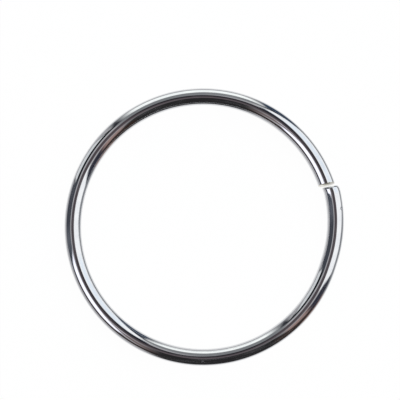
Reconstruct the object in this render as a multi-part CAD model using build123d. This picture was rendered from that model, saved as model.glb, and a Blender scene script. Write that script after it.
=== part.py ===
from build123d import *
import os
from math import asin, degrees

# Spring ring: round spring wire bent into one open ring, whose two cut ends face each other.
# The ring lies flat. The origin is at the centre of its round part, level with the wire's underside.
# +Z points up, and +X points through the gap between the two ends.
# The end on the +Y side of the gap stays on the circle; the one on the -Y side springs a little outside it.

# Driving sizes, in millimetres and degrees
wire_diameter = 3.0
outside_diameter = 50.0
end_gap = 0.45

# The end that springs outward: how much of the ring it takes, how far it turns out,
# and how much flatter than the ring the wire is where that turn begins
sprung_stretch = 37.0
sprung_turn = 2.8
flattening = 2.0

# The end that stays on the circle: its sheared face leans back at the top and runs askew in plan
shear_lean = 14.0
shear_skew = 7.0

# Rounding of the two cut edges: the sheared one is almost sharp, the sprung one is tumbled smooth
sheared_edge_radius = 0.12
sprung_edge_radius = 0.5

# Sizes that follow from the driving ones
wire_radius = wire_diameter / 2
ring_radius = outside_diameter / 2 - wire_radius
flattened_radius = ring_radius * flattening
flattened_turn = sprung_turn / (flattening - 1)
half_gap_angle = degrees(asin(end_gap / 2 / ring_radius))

# Spare wire that the shear takes off, and the block of space that it clears
spare_wire = wire_diameter
spare_turn = degrees(spare_wire / ring_radius)
shear_block = 2 * spare_wire


def wire_along(path):
    """Round wire that follows a path, cut square at both of its ends."""
    return sweep((path ^ 0) * Circle(wire_radius), path=path)


def rounded_end(wire, end_point, radius):
    """The wire with the edge of the cut face nearest to a point rounded off."""
    cut_face = wire.faces().filter_by(GeomType.PLANE).sort_by_distance(end_point)[0]
    return fillet(cut_face.edges(), radius)


# The round part starts past the gap, so that the shear has wire to take away
plane_of_wire = Plane.XY.offset(wire_radius)
round_turn = spare_turn + 360 - sprung_stretch
round_path = plane_of_wire * CenterArc((0, 0), ring_radius, -spare_turn, round_turn)
round_part = wire_along(round_path)

# The shear takes the spare wire off along a slanting face, half the gap from the X axis
sheared_point = Vector(ring_radius, 0, wire_radius).rotate(Axis.Z, half_gap_angle)
into_the_gap = Plane(sheared_point, x_dir=(1, 0, 0), z_dir=(0, -1, 0))
shear_face = into_the_gap * Rotation(-shear_lean, -shear_skew, 0)
beyond_the_face = (Align.CENTER, Align.CENTER, Align.MIN)
off_cut = shear_face * Box(shear_block, shear_block, shear_block, align=beyond_the_face)
round_part = rounded_end(round_part - off_cut, sheared_point, sheared_edge_radius)

# The sprung part leaves the circle over a flatter bend and then curves like the ring up to the gap
flattened_path = JernArc(round_path @ 1, round_path % 1, flattened_radius, flattened_turn)
gap_side = Plane.XZ.offset(end_gap / 2)
sprung_path = JernArc(flattened_path @ 1, flattened_path % 1, ring_radius, gap_side)
sprung_part = wire_along(flattened_path + sprung_path)
sprung_part = rounded_end(sprung_part, sprung_path @ 1, sprung_edge_radius)

spring_ring = round_part + sprung_part
spring_ring.label = "spring_ring"

sprung_step = (sprung_path @ 1).X - ring_radius
print(f"The sprung end stands {sprung_step:.2f} mm outside the ring's circle.")

os.makedirs("parts", exist_ok=True)
export_step(spring_ring, "parts/spring_ring.step")
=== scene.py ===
"""Spring ring: an open ring of bright-plated spring wire, lying on a pale floor in soft studio light.

The ring lies flat around the origin, which is level with the underside of the wire. +Z points up
and +X points through the gap between the wire's two ends. Lengths are metres unless a name or a
comment says otherwise, and sizes are written in millimetres as a number times MM.
"""
import logging
import math
from dataclasses import dataclass, field
from enum import Enum
from typing import Any, ClassVar, Optional, Union

import bpy
from mathutils import Matrix, Vector

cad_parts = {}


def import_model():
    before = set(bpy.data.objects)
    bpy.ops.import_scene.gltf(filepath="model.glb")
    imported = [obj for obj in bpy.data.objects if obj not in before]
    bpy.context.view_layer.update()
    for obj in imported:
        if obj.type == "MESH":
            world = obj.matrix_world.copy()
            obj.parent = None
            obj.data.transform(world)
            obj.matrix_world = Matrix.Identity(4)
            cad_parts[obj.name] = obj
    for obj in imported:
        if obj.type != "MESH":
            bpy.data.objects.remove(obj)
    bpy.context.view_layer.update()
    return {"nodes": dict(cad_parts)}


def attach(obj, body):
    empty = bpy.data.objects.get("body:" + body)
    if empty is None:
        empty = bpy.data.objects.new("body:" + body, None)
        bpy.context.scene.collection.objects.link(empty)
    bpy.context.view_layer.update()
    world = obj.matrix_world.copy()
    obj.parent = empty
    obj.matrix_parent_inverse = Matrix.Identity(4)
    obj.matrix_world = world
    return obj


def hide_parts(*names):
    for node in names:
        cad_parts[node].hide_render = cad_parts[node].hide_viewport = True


LOG = logging.getLogger("spring_ring")
MM = 0.001
FULL_TURN = 2 * math.pi
QUARTER_TURN = math.pi / 2
FULL_TURN_DEGREES = 360.0
WHITE = "#FFFFFF"
# The sRGB curve: straight up to a threshold, then a power with an offset
SRGB_TOP = 255
SRGB_STRAIGHT_UP_TO = 0.04045
SRGB_STRAIGHT_SLOPE = 12.92
SRGB_OFFSET = 0.055
SRGB_POWER = 2.4
Colour = tuple[float, float, float, float]


def linear(hex_colour: str, level: float = 1.0) -> Colour:
    """Turn an sRGB hex colour into the linear values that Blender's sockets take.

    Args:
        hex_colour: Six hex digits after a #, as a colour picker gives them.
        level: What the linear values are multiplied by, for a card that is brighter than white.

    Returns:
        Red, green, blue and an alpha of one.
    """
    channels = []
    for start in (1, 3, 5):
        value = int(hex_colour[start:start + 2], 16) / SRGB_TOP
        if value <= SRGB_STRAIGHT_UP_TO:
            value = value / SRGB_STRAIGHT_SLOPE
        else:
            value = ((value + SRGB_OFFSET) / (1 + SRGB_OFFSET)) ** SRGB_POWER
        channels.append(value * level)
    return (channels[0], channels[1], channels[2], 1.0)


def add_node(
    tree: bpy.types.NodeTree,
    kind: str,
    inputs: Optional[dict[Union[int, str], Any]] = None,
    **settings: Any,
) -> bpy.types.Node:
    """Add one node to a tree, with its settings and whatever goes into it.

    Args:
        tree: The node tree of a material, a world or a piece.
        kind: Blender's own name for the node.
        inputs: What each input takes, by its name or number: another node's output, or a value.
        settings: The node's own options.

    Returns:
        The new node.
    """
    node = tree.nodes.new(kind)
    for name, value in settings.items():
        setattr(node, name, value)
    for key, value in (inputs or {}).items():
        if isinstance(value, bpy.types.NodeSocket):
            tree.links.new(value, node.inputs[key])
        else:
            node.inputs[key].default_value = value
    return node


def add_sockets(
    tree: bpy.types.NodeTree,
    direction: str,
    names_by_kind: dict[str, tuple[str, ...]],
) -> dict[str, str]:
    """Add named inputs or outputs to a node tree.

    Args:
        tree: The tree that gets them.
        direction: INPUT or OUTPUT.
        names_by_kind: The names of the sockets of each kind.

    Returns:
        The identifier of each socket, by its name.
    """
    identifiers = {}
    for kind, names in names_by_kind.items():
        for name in names:
            socket = tree.interface.new_socket(name, in_out=direction, socket_type=f"NodeSocket{kind}")
            identifiers[name] = socket.identifier
    return identifiers


class Shading(Enum):
    """The two surfaces that the wire has."""

    PLATED = "bright_nickel_plated_spring_wire"
    SHEARED = "sheared_steel_painted_highlight"


@dataclass(frozen=True)
class PlatedWireFinish:
    """Bright electroplate over drawn spring steel.

    The plating mirrors the room like glass. Faint lines along the wire show the drawing die
    underneath, a soft unevenness of the plating makes the edges of the reflections waver, and
    a haze of handling dulls it here and there. hazed_from and hazed_to say which of the haze
    pattern's values are bright and which fully hazed, and worn_from and worn_to the same for
    the die lines. line_dullness and dent_dullness say how much less metal a line and a dent are.
    """

    colour: str = "#E5E6E8"
    hazed_colour: str = "#DADCE0"
    roughness: float = 0.035
    hazed_roughness: float = 0.075
    haze_size: float = 1.6 * MM
    hazed_from: float = 0.35
    hazed_to: float = 0.75
    # A die's real lines are hundredths of a millimetre apart: these are as coarse as they need to show
    die_line_spacing: float = 0.34 * MM
    die_line_length: float = 7.0 * MM
    die_line_depth: float = 0.0008 * MM
    worn_from: float = 0.48
    worn_to: float = 0.7
    line_dullness: float = 0.1
    dent_dullness: float = 12.0
    ripple_size: float = 2.4 * MM
    ripple_depth: float = 0.0012 * MM

    def build(self) -> bpy.types.Material:
        """Make the material, whose patterns follow the wire.

        Returns:
            The material. It reads the wire's own straight coordinates.
        """
        material = bpy.data.materials.new(Shading.PLATED.value)
        material.use_nodes = True
        tree = material.node_tree
        shader = tree.nodes["Principled BSDF"]
        straight_wire = add_node(tree, "ShaderNodeAttribute", attribute_name=WireTree.STRAIGHT_WIRE)
        wire = straight_wire.outputs["Vector"]

        stretch = (self.die_line_spacing / self.die_line_length, 1.0, 1.0)
        along = add_node(tree, "ShaderNodeVectorMath", {0: wire, 1: stretch}, operation="MULTIPLY")
        die_lines = add_node(
            tree,
            "ShaderNodeTexNoise",
            {
                "Vector": along.outputs[0],
                "Scale": 1 / self.die_line_spacing,
                "Detail": 2.0,
                "Roughness": 0.6,
            },
        )
        ripple = add_node(
            tree,
            "ShaderNodeTexNoise",
            {"Vector": wire, "Scale": 1 / self.ripple_size, "Detail": 1.0},
        )
        haze = add_node(
            tree,
            "ShaderNodeTexNoise",
            {"Vector": wire, "Scale": 1 / self.haze_size, "Detail": 4.0, "Roughness": 0.7},
        )

        hazed = add_node(
            tree,
            "ShaderNodeMapRange",
            {"Value": haze.outputs[0], "From Min": self.hazed_from, "From Max": self.hazed_to},
        )
        colour = add_node(
            tree,
            "ShaderNodeMix",
            {0: hazed.outputs[0], 6: linear(self.colour), 7: linear(self.hazed_colour)},
            data_type="RGBA",
        )
        roughness = add_node(
            tree,
            "ShaderNodeMapRange",
            {"Value": haze.outputs[0], "To Min": self.roughness, "To Max": self.hazed_roughness},
        )
        rippled = add_node(
            tree,
            "ShaderNodeBump",
            {"Strength": 1.0, "Distance": self.ripple_depth, "Height": ripple.outputs[0]},
        )
        lined = add_node(
            tree,
            "ShaderNodeBump",
            {
                "Strength": 1.0,
                "Distance": self.die_line_depth,
                "Height": die_lines.outputs[0],
                "Normal": rippled.outputs[0],
            },
        )
        between_dents = add_node(
            tree,
            "ShaderNodeMapRange",
            {
                "Value": die_lines.outputs[0],
                "From Min": self.worn_from,
                "From Max": self.worn_to,
                "To Min": 1.0,
                "To Max": 1.0 - self.line_dullness,
            },
        )
        dent = add_node(tree, "ShaderNodeAttribute", attribute_name=WireTree.DENT).outputs["Fac"]
        metal_share = add_node(
            tree,
            "ShaderNodeMath",
            {0: dent, 1: -self.dent_dullness, 2: between_dents.outputs[0]},
            operation="MULTIPLY_ADD",
        )
        tree.links.new(colour.outputs[2], shader.inputs["Base Color"])
        tree.links.new(metal_share.outputs[0], shader.inputs["Metallic"])
        tree.links.new(roughness.outputs[0], shader.inputs["Roughness"])
        tree.links.new(lined.outputs[0], shader.inputs["Normal"])
        return material


@dataclass(frozen=True)
class ShearedSteelWithPaintedHighlight:
    """Spring steel as the shear leaves it, bare of plating.

    The face has a fine grain and a cream tint. Its colours are lifted almost to white, a painted
    highlight that stands in for the bright light the face shows between the ends, so that it
    looks like pale straw beside the cold mirror of the plating.
    """

    # Both colours are painted near white: a painted highlight over the steel's own cream tint
    colour: str = "#FBF9F0"
    dark_colour: str = "#F0EDDF"
    roughness: float = 0.12
    metal_share: float = 0.8
    grain_size: float = 0.22 * MM
    grain_depth: float = 0.004 * MM
    grain_strength: float = 0.5

    def build(self) -> bpy.types.Material:
        """Make the material, on Object coordinates.

        Returns:
            The material.
        """
        material = bpy.data.materials.new(Shading.SHEARED.value)
        material.use_nodes = True
        tree = material.node_tree
        shader = tree.nodes["Principled BSDF"]
        shader.inputs["Metallic"].default_value = self.metal_share
        shader.inputs["Roughness"].default_value = self.roughness
        place = add_node(tree, "ShaderNodeTexCoord").outputs["Object"]
        grain = add_node(
            tree,
            "ShaderNodeTexNoise",
            {"Vector": place, "Scale": 1 / self.grain_size, "Detail": 4.0, "Roughness": 0.6},
        )
        # The grain mixes two near-white colours, so the whole face carries the painted highlight
        colour = add_node(
            tree,
            "ShaderNodeMix",
            {0: grain.outputs[0], 6: linear(self.dark_colour), 7: linear(self.colour)},
            data_type="RGBA",
        )
        bump = add_node(
            tree,
            "ShaderNodeBump",
            {"Strength": self.grain_strength, "Distance": self.grain_depth, "Height": grain.outputs[0]},
        )
        tree.links.new(colour.outputs[2], shader.inputs["Base Color"])
        tree.links.new(bump.outputs[0], shader.inputs["Normal"])
        return material


@dataclass(frozen=True)
class Ding:
    """A small dent or raised spot in the wire's surface.

    ring_angle is in degrees round the ring from +X, and wire_angle in degrees round the wire from
    its top towards the outside of the ring. A negative depth stands proud.
    """

    ring_angle: float
    wire_angle: float
    depth: float
    length: float
    width: float


class WireTree:
    """The Geometry Nodes tree that makes the wire: rows of points along it, columns round it."""

    STRAIGHT_WIRE = "straight_wire"
    DENT = "dent"
    SHEARED_FACE = "sheared_face"
    GRID_SIZE = 1.0
    MERGE_DISTANCE = 0.0005 * MM

    def __init__(self) -> None:
        """Build the tree and its inner groups."""
        self.end_group = self._wire_end_group()
        self.ding_group = self._ding_group()
        self.tree = bpy.data.node_groups.new("spring_ring_wire", "GeometryNodeTree")
        self.inputs = add_sockets(
            self.tree,
            "INPUT",
            {
                "Float": (
                    "Wire Radius", "Ring Radius", "Extra Radius",
                    "Start", "Bend Start", "Bend End", "End",
                    "Sheared Edge Length", "Sheared Edge Width",
                    "Sprung Edge Length", "Sprung Edge Width",
                    "Face Crown", "Slope Reach", "Tip Length",
                ),
                "Int": ("Rows", "Columns", "Face Rows", "Edge Rows"),
                "Vector": ("Sheared Slope", "Sprung Slope", "Tip Turn"),
                "Material": ("Plated", "Sheared"),
            },
        )
        add_sockets(self.tree, "OUTPUT", {"Geometry": ("Geometry",)})

    def _wire_end_group(self) -> bpy.types.NodeTree:
        """Make the group that closes one end: a slightly crowned face with a rounded edge.

        Returns:
            A group that takes rows counted from the end, and gives the size of the section there
            as a share of the wire's, and how far the row lies from the end.
        """
        tree = bpy.data.node_groups.new("wire_end", "GeometryNodeTree")
        add_sockets(
            tree,
            "INPUT",
            {
                "Float": (
                    "Row", "Face Rows", "Edge Rows", "Edge Length", "Edge Width", "Wire Radius", "Crown",
                ),
            },
        )
        add_sockets(tree, "OUTPUT", {"Float": ("Section", "Inset")})
        given = add_node(tree, "NodeGroupInput").outputs
        face = add_node(
            tree,
            "ShaderNodeMapRange",
            {"Value": given["Row"], "From Min": 0.0, "From Max": given["Face Rows"]},
        ).outputs[0]
        last_row = add_node(
            tree,
            "ShaderNodeMath",
            {0: given["Face Rows"], 1: given["Edge Rows"]},
            operation="ADD",
        ).outputs[0]
        turn = add_node(
            tree,
            "ShaderNodeMapRange",
            {
                "Value": given["Row"],
                "From Min": given["Face Rows"],
                "From Max": last_row,
                "To Max": QUARTER_TURN,
            },
        ).outputs[0]
        outwards = add_node(tree, "ShaderNodeMath", {0: turn}, operation="SINE").outputs[0]
        upwards = add_node(tree, "ShaderNodeMath", {0: turn}, operation="COSINE").outputs[0]
        edge_share = add_node(
            tree,
            "ShaderNodeMath",
            {0: given["Edge Width"], 1: given["Wire Radius"]},
            operation="DIVIDE",
        ).outputs[0]
        section = add_node(
            tree,
            "ShaderNodeMix",
            {0: edge_share, 2: face, 3: outwards},
            data_type="FLOAT",
        ).outputs[0]
        sunk = add_node(tree, "ShaderNodeMath", {0: 1.0, 1: upwards}, operation="SUBTRACT").outputs[0]
        crown = add_node(
            tree,
            "ShaderNodeMath",
            {0: face, 1: given["Crown"]},
            operation="MULTIPLY",
        ).outputs[0]
        inset = add_node(
            tree,
            "ShaderNodeMath",
            {0: sunk, 1: given["Edge Length"], 2: crown},
            operation="MULTIPLY_ADD",
        ).outputs[0]
        add_node(tree, "NodeGroupOutput", {"Section": section, "Inset": inset})
        return tree

    def _ding_group(self) -> bpy.types.NodeTree:
        """Make the group that adds one ding.

        Returns:
            A group that takes a place on the straight wire and the depth so far, and adds the
            depth of one smooth hollow to it.
        """
        tree = bpy.data.node_groups.new("ding", "GeometryNodeTree")
        add_sockets(
            tree,
            "INPUT",
            {"Vector": ("Place", "Centre", "Size"), "Float": ("Depth So Far", "Depth")},
        )
        add_sockets(tree, "OUTPUT", {"Float": ("Depth",)})
        given = add_node(tree, "NodeGroupInput").outputs
        away = add_node(
            tree,
            "ShaderNodeVectorMath",
            {0: given["Place"], 1: given["Centre"]},
            operation="SUBTRACT",
        ).outputs[0]
        scaled = add_node(
            tree,
            "ShaderNodeVectorMath",
            {0: away, 1: given["Size"]},
            operation="DIVIDE",
        ).outputs[0]
        length = add_node(tree, "ShaderNodeVectorMath", {0: scaled}, operation="LENGTH")
        hollow = add_node(
            tree,
            "ShaderNodeMapRange",
            {"Value": length.outputs["Value"], "From Min": 1.0, "From Max": 0.0},
            interpolation_type="SMOOTHSTEP",
        ).outputs[0]
        total = add_node(
            tree,
            "ShaderNodeMath",
            {0: hollow, 1: given["Depth"], 2: given["Depth So Far"]},
            operation="MULTIPLY_ADD",
        ).outputs[0]
        add_node(tree, "NodeGroupOutput", {"Depth": total})
        return tree

    def build(self, dings: list[tuple[Vector, Vector, float]]) -> None:
        """Fill the tree.

        Args:
            dings: The centre of each ding on the straight wire, its half sizes and its depth.
        """
        tree = self.tree
        given = add_node(tree, "NodeGroupInput").outputs
        columns = add_node(
            tree,
            "ShaderNodeMath",
            {0: given["Columns"], 1: 1.0},
            operation="ADD",
        ).outputs[0]
        grid = add_node(
            tree,
            "GeometryNodeMeshGrid",
            {
                "Size X": self.GRID_SIZE,
                "Size Y": self.GRID_SIZE,
                "Vertices X": given["Rows"],
                "Vertices Y": columns,
            },
        ).outputs
        place = add_node(
            tree,
            "ShaderNodeSeparateXYZ",
            {0: add_node(tree, "GeometryNodeInputPosition").outputs[0]},
        ).outputs
        last_row = add_node(
            tree,
            "ShaderNodeMath",
            {0: given["Rows"], 1: 1.0},
            operation="SUBTRACT",
        ).outputs[0]
        row = add_node(
            tree,
            "ShaderNodeMapRange",
            {
                "Value": place[0],
                "From Min": -self.GRID_SIZE / 2,
                "From Max": self.GRID_SIZE / 2,
                "To Max": last_row,
            },
        ).outputs[0]
        row_from_end = add_node(
            tree,
            "ShaderNodeMath",
            {0: last_row, 1: row},
            operation="SUBTRACT",
        ).outputs[0]

        ends = []
        for end_name, row_count in (("Sheared", row), ("Sprung", row_from_end)):
            end = add_node(
                tree,
                "GeometryNodeGroup",
                {
                    "Row": row_count,
                    "Face Rows": given["Face Rows"],
                    "Edge Rows": given["Edge Rows"],
                    "Edge Length": given[f"{end_name} Edge Length"],
                    "Edge Width": given[f"{end_name} Edge Width"],
                    "Wire Radius": given["Wire Radius"],
                    "Crown": given["Face Crown"],
                },
                node_tree=self.end_group,
            )
            ends.append(end.outputs)
        sheared_end, sprung_end = ends

        # Where each row stands round the ring, before the slope of the end faces
        cap_rows = add_node(
            tree,
            "ShaderNodeMath",
            {0: given["Face Rows"], 1: given["Edge Rows"]},
            operation="ADD",
        ).outputs[0]
        last_open_row = add_node(
            tree,
            "ShaderNodeMath",
            {0: last_row, 1: cap_rows},
            operation="SUBTRACT",
        ).outputs[0]
        share = add_node(
            tree,
            "ShaderNodeMapRange",
            {"Value": row, "From Min": cap_rows, "From Max": last_open_row},
        ).outputs[0]
        lengths = (sheared_end["Inset"], sprung_end["Inset"], given["Slope Reach"], given["Tip Length"])
        sheared_inset, sprung_inset, slope_reach, tip_reach = [
            add_node(
                tree,
                "ShaderNodeMath",
                {0: length, 1: given["Ring Radius"]},
                operation="DIVIDE",
            ).outputs[0]
            for length in lengths
        ]
        first_angle = add_node(
            tree,
            "ShaderNodeMath",
            {0: given["Start"], 1: sheared_inset},
            operation="ADD",
        ).outputs[0]
        last_angle = add_node(
            tree,
            "ShaderNodeMath",
            {0: given["End"], 1: sprung_inset},
            operation="SUBTRACT",
        ).outputs[0]
        level_angle = add_node(
            tree,
            "ShaderNodeMix",
            {0: share, 2: first_angle, 3: last_angle},
            data_type="FLOAT",
        ).outputs[0]

        # Each point's place in the wire's section: x outwards from the ring, z up. The columns run from
        # half a turn to minus half a turn, because the other way round the faces would point inwards.
        section = add_node(
            tree,
            "ShaderNodeMath",
            {0: sheared_end["Section"], 1: sprung_end["Section"]},
            operation="MULTIPLY",
        ).outputs[0]
        section_radius = add_node(
            tree,
            "ShaderNodeMath",
            {0: section, 1: given["Wire Radius"]},
            operation="MULTIPLY",
        ).outputs[0]
        around = add_node(
            tree,
            "ShaderNodeMapRange",
            {
                "Value": place[1],
                "From Min": -self.GRID_SIZE / 2,
                "From Max": self.GRID_SIZE / 2,
                "To Min": FULL_TURN / 2,
                "To Max": -FULL_TURN / 2,
            },
        ).outputs[0]
        upright = add_node(tree, "ShaderNodeCombineXYZ", {2: section_radius}).outputs[0]
        round_place = add_node(
            tree,
            "ShaderNodeVectorRotate",
            {"Vector": upright, "Angle": around},
            rotation_type="Y_AXIS",
        ).outputs[0]

        # Place on the straight wire, as it was before it was bent: the patterns and dings use it
        along = add_node(
            tree,
            "ShaderNodeMath",
            {0: level_angle, 1: given["Ring Radius"]},
            operation="MULTIPLY",
        ).outputs[0]
        along_vector = add_node(tree, "ShaderNodeCombineXYZ", {0: along}).outputs[0]
        swapped = add_node(
            tree,
            "ShaderNodeVectorRotate",
            {"Vector": round_place, "Angle": QUARTER_TURN},
            rotation_type="Z_AXIS",
        ).outputs[0]
        straight = add_node(
            tree,
            "ShaderNodeVectorMath",
            {0: along_vector, 1: swapped},
            operation="ADD",
        ).outputs[0]
        depth: Union[float, bpy.types.NodeSocket] = 0.0
        for centre, size, own_depth in dings:
            depth = add_node(
                tree,
                "GeometryNodeGroup",
                {
                    "Place": straight,
                    "Depth So Far": depth,
                    "Centre": centre,
                    "Size": size,
                    "Depth": own_depth,
                },
                node_tree=self.ding_group,
            ).outputs["Depth"]
        sunk_share = add_node(
            tree,
            "ShaderNodeMath",
            {0: depth, 1: given["Wire Radius"]},
            operation="DIVIDE",
        ).outputs[0]
        left_share = add_node(
            tree,
            "ShaderNodeMath",
            {0: 1.0, 1: sunk_share},
            operation="SUBTRACT",
        ).outputs[0]
        section_place = add_node(
            tree,
            "ShaderNodeVectorMath",
            {0: round_place, "Scale": left_share},
            operation="SCALE",
        ).outputs[0]

        # The end faces stand askew: each point turns round the ring by its place in the section
        angle = level_angle
        for slope, end_angle in (("Sheared Slope", given["Start"]), ("Sprung Slope", given["End"])):
            shift = add_node(
                tree,
                "ShaderNodeVectorMath",
                {0: round_place, 1: given[slope]},
                operation="DOT_PRODUCT",
            ).outputs["Value"]
            away = add_node(
                tree,
                "ShaderNodeMath",
                {0: level_angle, 1: end_angle},
                operation="SUBTRACT",
            ).outputs[0]
            away = add_node(tree, "ShaderNodeMath", {0: away}, operation="ABSOLUTE").outputs[0]
            fade = add_node(
                tree,
                "ShaderNodeMapRange",
                {"Value": away, "From Min": slope_reach, "From Max": 0.0},
                interpolation_type="SMOOTHSTEP",
            ).outputs[0]
            shift_angle = add_node(
                tree,
                "ShaderNodeMath",
                {0: shift, 1: given["Ring Radius"]},
                operation="DIVIDE",
            ).outputs[0]
            angle = add_node(
                tree,
                "ShaderNodeMath",
                {0: shift_angle, 1: fade, 2: angle},
                operation="MULTIPLY_ADD",
            ).outputs[0]

        # The last of the sprung end turns in towards the ring
        from_tip = add_node(
            tree,
            "ShaderNodeMath",
            {0: given["End"], 1: level_angle},
            operation="SUBTRACT",
        ).outputs[0]
        tip_share = add_node(
            tree,
            "ShaderNodeMapRange",
            {"Value": from_tip, "From Min": tip_reach, "From Max": 0.0},
        ).outputs[0]
        tip_bend = add_node(
            tree,
            "ShaderNodeMath",
            {0: tip_share, 1: tip_share},
            operation="MULTIPLY",
        ).outputs[0]
        tip_shift = add_node(
            tree,
            "ShaderNodeVectorMath",
            {0: given["Tip Turn"], "Scale": tip_bend},
            operation="SCALE",
        ).outputs[0]
        section_place = add_node(
            tree,
            "ShaderNodeVectorMath",
            {0: section_place, 1: tip_shift},
            operation="ADD",
        ).outputs[0]

        # The section is carried out to the ring's radius, up by the wire's, and turned to its place
        carried = add_node(
            tree,
            "ShaderNodeCombineXYZ",
            {0: given["Ring Radius"], 2: given["Wire Radius"]},
        ).outputs[0]
        standing = add_node(
            tree,
            "ShaderNodeVectorMath",
            {0: section_place, 1: carried},
            operation="ADD",
        ).outputs[0]
        on_circle = add_node(
            tree,
            "ShaderNodeVectorRotate",
            {"Vector": standing, "Angle": angle},
            rotation_type="Z_AXIS",
        ).outputs[0]

        # Over the flatter bend the wire runs on a larger radius, which carries the sprung part outwards
        extra = add_node(tree, "ShaderNodeCombineXYZ", {0: given["Extra Radius"]}).outputs[0]
        bend_angle = add_node(
            tree,
            "ShaderNodeClamp",
            {"Value": angle, "Min": given["Bend Start"], "Max": given["Bend End"]},
        ).outputs[0]
        bend_now, bend_first = [
            add_node(
                tree,
                "ShaderNodeVectorRotate",
                {"Vector": extra, "Angle": turned_by},
                rotation_type="Z_AXIS",
            ).outputs[0]
            for turned_by in (bend_angle, given["Bend Start"])
        ]
        sprung_out = add_node(
            tree,
            "ShaderNodeVectorMath",
            {0: bend_now, 1: bend_first},
            operation="SUBTRACT",
        ).outputs[0]
        finished_place = add_node(
            tree,
            "ShaderNodeVectorMath",
            {0: on_circle, 1: sprung_out},
            operation="ADD",
        ).outputs[0]

        # Attributes are stored while the grid is still flat, because they are worked out from it
        is_sheared = add_node(
            tree,
            "FunctionNodeCompare",
            {0: row, 1: cap_rows},
            data_type="FLOAT",
            operation="LESS_EQUAL",
        ).outputs[0]
        stored = grid["Mesh"]
        for name, data_type, domain, socket, value in (
            (self.STRAIGHT_WIRE, "FLOAT_VECTOR", "POINT", 3, straight),
            (self.DENT, "FLOAT", "POINT", "Value", sunk_share),
            ("UVMap", "FLOAT2", "CORNER", 3, grid["UV Map"]),
            (self.SHEARED_FACE, "BOOLEAN", "FACE", "Value", is_sheared),
        ):
            stored = add_node(
                tree,
                "GeometryNodeStoreNamedAttribute",
                {"Geometry": stored, "Name": name, socket: value},
                data_type=data_type,
                domain=domain,
            ).outputs[0]
        placed = add_node(
            tree,
            "GeometryNodeSetPosition",
            {"Geometry": stored, "Position": finished_place},
        ).outputs[0]
        closed = add_node(
            tree,
            "GeometryNodeMergeByDistance",
            {"Geometry": placed, "Distance": self.MERGE_DISTANCE},
        ).outputs[0]
        smooth = add_node(tree, "GeometryNodeSetShadeSmooth", {"Geometry": closed}).outputs[0]
        realised = add_node(tree, "GeometryNodeRealizeInstances", {"Geometry": smooth}).outputs[0]
        plated = add_node(
            tree,
            "GeometryNodeSetMaterial",
            {"Geometry": realised, "Material": given["Plated"]},
        ).outputs[0]
        on_sheared_face = add_node(
            tree,
            "GeometryNodeInputNamedAttribute",
            {"Name": self.SHEARED_FACE},
            data_type="BOOLEAN",
        ).outputs["Attribute"]
        finished = add_node(
            tree,
            "GeometryNodeSetMaterial",
            {"Geometry": plated, "Selection": on_sheared_face, "Material": given["Sheared"]},
        ).outputs[0]
        add_node(tree, "NodeGroupOutput", {"Geometry": finished})


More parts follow.
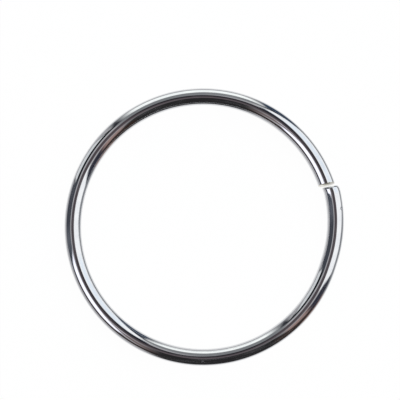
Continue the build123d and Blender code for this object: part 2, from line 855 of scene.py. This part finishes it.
@dataclass
class SpringRing:
    """The ring: one length of plated spring wire, open at +X.

    The end on the +Y side of the gap was sheared off along a slanting face. The end on the -Y side
    was tumbled smooth, and springs a little outside the ring's circle. Angles are in degrees.

    sprung_stretch is how much of the ring the sprung part takes, sprung_turn how far it turns out,
    and flattening how much flatter than the ring the wire is where that turn begins. An end's edge
    is rounded over a length along the wire and a width across it. The sheared face stands back from
    its half of the gap and the sprung one comes forward into the other half, by a few hundredths of
    a millimetre. tip_turn is how far the last of the sprung end turns in again.
    """

    name: str = "spring_ring_wire"
    wire_radius: float = 1.5 * MM
    ring_radius: float = 23.5 * MM
    end_gap: float = 0.45 * MM
    sprung_stretch: float = 37.0
    sprung_turn: float = 2.8
    flattening: float = 2.0
    sheared_edge: float = 0.12 * MM
    sheared_setback: float = 0.06 * MM
    sprung_edge_length: float = 0.44 * MM
    sprung_edge_width: float = 0.24 * MM
    sprung_advance: float = 0.08 * MM
    face_crown: float = 0.02 * MM
    shear_lean: float = 11.0
    shear_skew: float = 7.0
    sprung_skew: float = 4.5
    slope_reach: float = 6.0 * MM
    tip_turn: float = 0.2 * MM
    tip_length: float = 1.4 * MM
    rows: int = 1180
    columns: int = 84
    face_rows: int = 8
    edge_rows: int = 8
    plated: PlatedWireFinish = field(default_factory=PlatedWireFinish)
    sheared: ShearedSteelWithPaintedHighlight = field(default_factory=ShearedSteelWithPaintedHighlight)
    dings: tuple[Ding, ...] = (
        Ding(ring_angle=-12.9, wire_angle=49.0, depth=0.10 * MM, length=0.28 * MM, width=0.48 * MM),
        Ding(ring_angle=251.6, wire_angle=22.0, depth=0.05 * MM, length=0.24 * MM, width=0.24 * MM),
    )

    def bend_start(self) -> float:
        """Find how far round the ring the flatter bend starts, in radians."""
        return math.radians(FULL_TURN_DEGREES - self.sprung_stretch)

    def bend_end(self) -> float:
        """Find how far round the ring the flatter bend ends, in radians."""
        return self.bend_start() + math.radians(self.sprung_turn / (self.flattening - 1.0))

    def extra_radius(self) -> float:
        """Find how much larger than the ring's the radius of the flatter bend is."""
        return self.ring_radius * (self.flattening - 1.0)

    def end_angle(self) -> float:
        """Find how far round the ring the sprung end stands, in radians.

        Returns:
            The angle at which the sprung part's centre line comes that near to the X axis.
        """
        sideways = self.extra_radius() * (math.sin(self.bend_end()) - math.sin(self.bend_start()))
        short_of_axis = self.end_gap / 2 - self.sprung_advance
        return FULL_TURN + math.asin((-short_of_axis - sideways) / self.ring_radius)

    def ding_places(self) -> list[tuple[Vector, Vector, float]]:
        """Place the dings on the straight wire.

        Returns:
            For each ding its centre, its half sizes and its depth.
        """
        places = []
        for ding in self.dings:
            along = math.radians(ding.ring_angle % FULL_TURN_DEGREES) * self.ring_radius
            turn = math.radians(ding.wire_angle)
            across = Vector((0.0, math.sin(turn), math.cos(turn))) * self.wire_radius
            centre = Vector((along, 0.0, 0.0)) + across
            places.append((centre, Vector((ding.length, ding.width, ding.width)), ding.depth))
        return places

    def build(self) -> bpy.types.Object:
        """Make the wire's mesh with its Geometry Nodes tree.

        Returns:
            The finished object, a plain mesh at the origin.
        """
        values = {
            "Wire Radius": self.wire_radius,
            "Ring Radius": self.ring_radius,
            "Extra Radius": self.extra_radius(),
            "Start": math.asin((self.end_gap / 2 + self.sheared_setback) / self.ring_radius),
            "Bend Start": self.bend_start(),
            "Bend End": self.bend_end(),
            "End": self.end_angle(),
            "Rows": self.rows,
            "Columns": self.columns,
            "Face Rows": self.face_rows,
            "Edge Rows": self.edge_rows,
            "Sheared Edge Length": self.sheared_edge,
            "Sheared Edge Width": self.sheared_edge,
            "Sprung Edge Length": self.sprung_edge_length,
            "Sprung Edge Width": self.sprung_edge_width,
            "Face Crown": self.face_crown,
            "Sheared Slope": (
                -math.tan(math.radians(self.shear_skew)),
                0.0,
                math.tan(math.radians(self.shear_lean)),
            ),
            "Sprung Slope": (-math.tan(math.radians(self.sprung_skew)), 0.0, 0.0),
            "Slope Reach": self.slope_reach,
            "Tip Turn": (-self.tip_turn, 0.0, 0.0),
            "Tip Length": self.tip_length,
            "Plated": self.plated.build(),
            "Sheared": self.sheared.build(),
        }
        wire = WireTree()
        wire.build(self.ding_places())
        mesh = bpy.data.meshes.new(self.name)
        piece = bpy.data.objects.new(self.name, mesh)
        bpy.context.collection.objects.link(piece)
        modifier = piece.modifiers.new("wire", "NODES")
        modifier.node_group = wire.tree
        for name, value in values.items():
            modifier[wire.inputs[name]] = value
        graph = bpy.context.evaluated_depsgraph_get()
        made = bpy.data.meshes.new_from_object(
            piece.evaluated_get(graph),
            preserve_all_data_layers=True,
            depsgraph=graph,
        )
        piece.modifiers.clear()
        piece.data = made
        made.name = self.name
        return piece


@dataclass(frozen=True)
class Panel:
    """One thing that stands in the room and shows in the metal: a window, a wall, a post or a card.

    Angles are in degrees. azimuth and half_width are round the ring from +X. top and bottom are
    measured from straight overhead, so the horizon is at 90. level is how bright the panel is
    beside its colour. taper narrows the panel and lean moves it sideways for each degree downwards
    from halfway up, and slope lowers its top for each degree of azimuth. side_blur and end_blur
    are how soft its sides and its top and bottom are.
    """

    name: str
    azimuth: float
    half_width: float
    top: float
    bottom: float
    colour: str
    level: float = 1.0
    taper: float = 0.0
    lean: float = 0.0
    slope: float = 0.0
    side_blur: float = 1.5
    end_blur: float = 4.0


@dataclass
class Studio:
    """The room around the ring, painted on the world: windows, walls and dark cards.

    What the camera sees is white. What the metal mirrors is the off-white ground below the
    horizon, and the room's panels above it. Later panels lie over earlier ones. Most of the panels'
    numbers are rounded results of a fit to the photograph, and the rest were given one by one.
    """

    HALFWAY_UP: ClassVar[float] = 45.0
    ground: str = "#F3F3F3"
    panels: tuple[Panel, ...] = (
        Panel("room", 0.0, 181.0, -20.0, 121.0, "#B9B8BA", end_blur=3.5),
        Panel("window_sill", 2.0, 50.0, 92.0, 125.0, "#919396", side_blur=6.0, end_blur=3.0),
        Panel(
            "window_frame", -1.5, 46.5, 27.0, 94.0, "#202A3A",
            taper=0.05, lean=0.04, slope=-0.3, end_blur=2.0,
        ),
        Panel("curtain", 37.0, 9.0, 82.0, 117.0, "#38465A", side_blur=2.5, end_blur=3.0),
        Panel(
            "window", 0.0, 45.0, 18.0, 97.5, "#FEFFFF",
            level=1.15, taper=0.28, lean=-0.11, slope=0.35, end_blur=5.0,
        ),
        Panel("sill_corner", -32.0, 14.0, 85.0, 118.0, "#8E9094", side_blur=8.0, end_blur=5.0),
        Panel("sky", 13.0, 19.0, 32.0, 79.0, "#F0F8FF", level=1.15, side_blur=4.0, end_blur=5.0),
        Panel(
            "wall_upper", 78.5, 35.5, 19.0, 108.0, "#87898B",
            taper=0.05, lean=0.1, slope=-0.6, side_blur=3.0, end_blur=7.5,
        ),
        Panel(
            "wall_lower", 73.5, 32.0, 60.5, 102.0, "#FCFFFC",
            level=1.25, taper=0.08, lean=0.1, slope=-0.1, side_blur=5.0, end_blur=4.5,
        ),
        Panel("post", 112.8, 3.0, 46.0, 112.0, "#303138", taper=0.05, end_blur=3.0),
        Panel(
            "door_upper", 129.0, 15.7, 36.5, 106.0, "#15181E",
            taper=0.13, lean=0.1, slope=-0.1, side_blur=1.0, end_blur=1.5,
        ),
        Panel(
            "door_lower", 130.5, 14.3, 62.0, 103.0, "#E6E9EA",
            taper=0.12, lean=0.06, slope=0.15, end_blur=1.0,
        ),
        Panel(
            "slate_wall", 159.0, 16.5, 29.5, 95.0, "#464951",
            taper=0.06, lean=-0.03, slope=-0.05, end_blur=3.0,
        ),
        Panel("far_window_wall", 192.5, 22.5, 26.0, 88.0, "#3F454E", taper=-0.15, lean=-0.1, slope=0.05),
        Panel("pale_slate", 168.5, 4.5, 33.0, 92.0, "#5E626A", side_blur=3.5),
        Panel(
            "far_window", 195.7, 19.8, 24.5, 66.5, "#F6F6FF",
            level=1.5, taper=0.14, slope=-0.28, side_blur=2.0, end_blur=3.0,
        ),
        Panel(
            "warm_strip", 225.5, 8.0, 23.0, 64.0, "#807271",
            taper=0.28, lean=0.45, slope=0.2, side_blur=3.0, end_blur=8.0,
        ),
        Panel(
            "warm_strip_low", 215.5, 22.0, 62.0, 88.0, "#3A2F2D",
            taper=-0.1, lean=-0.15, slope=-0.25, side_blur=4.0, end_blur=6.0,
        ),
        Panel(
            "dark_card", 260.5, 31.5, 12.0, 116.0, "#2C2B2C",
            taper=-0.1, lean=0.12, slope=0.3, side_blur=6.0, end_blur=10.0,
        ),
        Panel("warm_card", 298.0, 7.5, 25.0, 120.0, "#A58B85", lean=0.1, end_blur=8.0),
        Panel(
            "warm_card_low", 296.5, 12.5, 56.5, 101.0, "#3A2E2A",
            slope=1.0, side_blur=2.0, end_blur=8.0,
        ),
        Panel(
            "navy_card", 309.0, 6.7, 34.0, 100.0, "#34343F",
            lean=0.07, slope=0.3, side_blur=3.0, end_blur=8.0,
        ),
        Panel("dark_ceiling", 0.0, 181.0, -20.0, 18.5, "#564E52"),
        Panel("ceiling_corner", 227.0, 45.0, -20.0, 6.5, "#403A3D", side_blur=10.0, end_blur=3.5),
        Panel("far_ceiling", 255.0, 40.0, 7.0, 16.0, "#6E6669", side_blur=10.0, end_blur=3.5),
        Panel("ceiling_beam", 50.0, 57.0, 5.5, 18.0, "#1E2026", side_blur=6.0, end_blur=3.5),
    )

    def _panel_group(self) -> bpy.types.NodeTree:
        """Make the group that lays one panel over what is behind it.

        Returns:
            A group from a direction and a colour so far to the colour with the panel in it.
        """
        tree = bpy.data.node_groups.new("panel", "ShaderNodeTree")
        add_sockets(
            tree,
            "INPUT",
            {
                "Color": ("Behind", "Colour"),
                "Float": (
                    "Azimuth", "Polar", "Centre", "Half Width", "Top", "Bottom",
                    "Taper", "Lean", "Slope", "Side Blur", "End Blur",
                ),
            },
        )
        add_sockets(tree, "OUTPUT", {"Color": ("Colour",)})
        given = add_node(tree, "NodeGroupInput").outputs
        down = add_node(
            tree,
            "ShaderNodeMath",
            {0: given["Polar"], 1: self.HALFWAY_UP},
            operation="SUBTRACT",
        ).outputs[0]
        centre = add_node(
            tree,
            "ShaderNodeMath",
            {0: down, 1: given["Lean"], 2: given["Centre"]},
            operation="MULTIPLY_ADD",
        ).outputs[0]
        turned = add_node(
            tree,
            "ShaderNodeMath",
            {0: given["Azimuth"], 1: centre},
            operation="SUBTRACT",
        ).outputs[0]
        aside = add_node(
            tree,
            "ShaderNodeMath",
            {0: turned, 1: FULL_TURN_DEGREES / 2, 2: -FULL_TURN_DEGREES / 2},
            operation="WRAP",
        ).outputs[0]
        off_centre = add_node(tree, "ShaderNodeMath", {0: aside}, operation="ABSOLUTE").outputs[0]
        narrowed = add_node(
            tree,
            "ShaderNodeMath",
            {0: down, 1: given["Taper"], 2: off_centre},
            operation="MULTIPLY_ADD",
        ).outputs[0]
        inside = add_node(
            tree,
            "ShaderNodeMath",
            {0: given["Half Width"], 1: narrowed},
            operation="SUBTRACT",
        ).outputs[0]
        top = add_node(
            tree,
            "ShaderNodeMath",
            {0: aside, 1: given["Slope"], 2: given["Top"]},
            operation="MULTIPLY_ADD",
        ).outputs[0]
        below_top = add_node(
            tree,
            "ShaderNodeMath",
            {0: given["Polar"], 1: top},
            operation="SUBTRACT",
        ).outputs[0]
        above_bottom = add_node(
            tree,
            "ShaderNodeMath",
            {0: given["Bottom"], 1: given["Polar"]},
            operation="SUBTRACT",
        ).outputs[0]
        cover: Union[float, bpy.types.NodeSocket] = 1.0
        for distance, blur in (
            (inside, given["Side Blur"]),
            (below_top, given["End Blur"]),
            (above_bottom, given["End Blur"]),
        ):
            outer_edge = add_node(
                tree,
                "ShaderNodeMath",
                {0: 0.0, 1: blur},
                operation="SUBTRACT",
            ).outputs[0]
            part = add_node(
                tree,
                "ShaderNodeMapRange",
                {"Value": distance, "From Min": outer_edge, "From Max": blur},
                interpolation_type="SMOOTHSTEP",
            ).outputs[0]
            cover = add_node(
                tree,
                "ShaderNodeMath",
                {0: cover, 1: part},
                operation="MULTIPLY",
            ).outputs[0]
        mixed = add_node(
            tree,
            "ShaderNodeMix",
            {0: cover, 6: given["Behind"], 7: given["Colour"]},
            data_type="RGBA",
        ).outputs[2]
        add_node(tree, "NodeGroupOutput", {"Colour": mixed})
        return tree

    def build(self) -> bpy.types.World:
        """Paint the room on the world.

        Returns:
            The scene's new world.
        """
        world = bpy.data.worlds.new("studio_room")
        bpy.context.scene.world = world
        world.use_nodes = True
        tree = world.node_tree
        tree.nodes.clear()
        direction = add_node(
            tree,
            "ShaderNodeSeparateXYZ",
            {0: add_node(tree, "ShaderNodeTexCoord").outputs["Generated"]},
        ).outputs
        azimuth = add_node(
            tree,
            "ShaderNodeMath",
            {0: direction[1], 1: direction[0]},
            operation="ARCTAN2",
        ).outputs[0]
        azimuth = add_node(tree, "ShaderNodeMath", {0: azimuth}, operation="DEGREES").outputs[0]
        polar = add_node(tree, "ShaderNodeMath", {0: direction[2]}, operation="ARCCOSINE").outputs[0]
        polar = add_node(tree, "ShaderNodeMath", {0: polar}, operation="DEGREES").outputs[0]

        room: Union[Colour, bpy.types.NodeSocket] = linear(self.ground)
        group = self._panel_group()
        for panel in self.panels:
            room = add_node(
                tree,
                "ShaderNodeGroup",
                {
                    "Behind": room,
                    "Azimuth": azimuth,
                    "Polar": polar,
                    "Colour": linear(panel.colour, panel.level),
                    "Centre": panel.azimuth,
                    "Half Width": panel.half_width,
                    "Top": panel.top,
                    "Bottom": panel.bottom,
                    "Taper": panel.taper,
                    "Lean": panel.lean,
                    "Slope": panel.slope,
                    "Side Blur": panel.side_blur,
                    "End Blur": panel.end_blur,
                },
                node_tree=group,
                label=panel.name,
            ).outputs["Colour"]

        path = add_node(tree, "ShaderNodeLightPath").outputs
        shown = add_node(
            tree,
            "ShaderNodeMix",
            {0: path["Is Camera Ray"], 6: room, 7: linear(WHITE)},
            data_type="RGBA",
        ).outputs[2]
        background = add_node(tree, "ShaderNodeBackground", {"Color": shown, "Strength": 1.0})
        add_node(tree, "ShaderNodeOutputWorld", {"Surface": background.outputs[0]})
        return world


@dataclass
class Floor:
    """The plain white floor that the ring lies on.

    It is white to the camera and carries the ring's soft shadow. The metal doesn't mirror it, but
    the off-white ground that the world has below the horizon. lit_share is how much of the floor
    is lit by the room and so takes the shadow, and room_light how bright that light makes white
    paper.
    """

    half_size: float = 2.0
    lit_share: float = 0.06
    room_light: float = 0.5

    def build(self) -> bpy.types.Object:
        """Make the floor.

        Returns:
            The floor.
        """
        mesh = bpy.data.meshes.new("floor")
        reach = self.half_size
        corners = [(x * reach, y * reach, 0.0) for x, y in ((-1, -1), (1, -1), (1, 1), (-1, 1))]
        mesh.from_pydata(corners, [], [(0, 1, 2, 3)])
        floor = bpy.data.objects.new("floor", mesh)
        floor.visible_glossy = False
        bpy.context.collection.objects.link(floor)
        mesh.materials.append(self.material())
        return floor

    def material(self) -> bpy.types.Material:
        """Make matt white paper, part lit by the room and the rest plain white.

        Returns:
            The material. Where nothing shades it, both parts together come to white.
        """
        material = bpy.data.materials.new("matt_white_paper")
        material.use_nodes = True
        tree = material.node_tree
        tree.nodes.clear()
        path = add_node(tree, "ShaderNodeLightPath").outputs
        seen_share = add_node(
            tree,
            "ShaderNodeMath",
            {0: path["Is Camera Ray"], 1: 1.0 - self.lit_share},
            operation="MULTIPLY",
        ).outputs[0]
        plain_level = (1.0 - self.lit_share * self.room_light) / (1.0 - self.lit_share)
        lit = add_node(tree, "ShaderNodeBsdfDiffuse", {"Color": linear(WHITE)})
        plain = add_node(tree, "ShaderNodeEmission", {"Color": linear(WHITE), "Strength": plain_level})
        mixed = add_node(
            tree,
            "ShaderNodeMixShader",
            {0: seen_share, 1: lit.outputs[0], 2: plain.outputs[0]},
        )
        add_node(tree, "ShaderNodeOutputMaterial", {"Surface": mixed.outputs[0]})
        return material


@dataclass
class OverheadCamera:
    """The camera, looking straight down on the ring as the photograph does.

    gap_in_frame is how many degrees above the frame's own right the gap stands, and middle_across
    and middle_up say where the middle of the frame lies from the ring's own.
    """

    distance: float = 300.0 * MM
    frame_width: float = 72.1 * MM
    gap_in_frame: float = 18.1
    middle_across: float = -0.58 * MM
    middle_up: float = 4.87 * MM
    aim_height: float = 1.5 * MM
    sensor_width: float = 36.0
    nearest: float = 10.0 * MM
    farthest: float = 20.0

    def build(self) -> bpy.types.Object:
        """Make the camera and make it the scene's own.

        Returns:
            The camera.
        """
        roll = math.radians(-self.gap_in_frame)
        across = Vector((math.cos(roll), math.sin(roll), 0.0))
        up = Vector((-math.sin(roll), math.cos(roll), 0.0))
        aim = across * self.middle_across + up * self.middle_up + Vector((0.0, 0.0, self.aim_height))
        back = Vector((0.0, 0.0, 1.0))
        turn = Matrix((across, up, back)).transposed().to_4x4()
        lens = bpy.data.cameras.new("overhead_camera")
        lens.sensor_width = self.sensor_width
        lens.lens = self.sensor_width * self.distance / self.frame_width
        lens.clip_start = self.nearest
        lens.clip_end = self.farthest
        camera = bpy.data.objects.new("overhead_camera", lens)
        camera.matrix_world = Matrix.Translation(aim + back * self.distance) @ turn
        bpy.context.collection.objects.link(camera)
        bpy.context.scene.camera = camera
        return camera


def main() -> None:
    """Build the ring round the frame, then its floor, light and camera."""
    logging.basicConfig(level=logging.INFO, format="%(message)s")
    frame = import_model()
    bpy.context.scene.view_settings.view_transform = "Standard"

    ring = SpringRing().build()
    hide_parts("spring_ring")
    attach(ring, "root")
    triangles = sum(len(face.vertices) - 2 for face in ring.data.polygons)
    LOG.info("%s: %d triangles, in place of %s", ring.name, triangles, sorted(frame["nodes"]))

    floor = Floor().build()
    LOG.info("%s: stage", floor.name)
    LOG.info("%s: world", Studio().build().name)
    LOG.info("%s: camera", OverheadCamera().build().name)


if __name__ == "__main__":
    main()
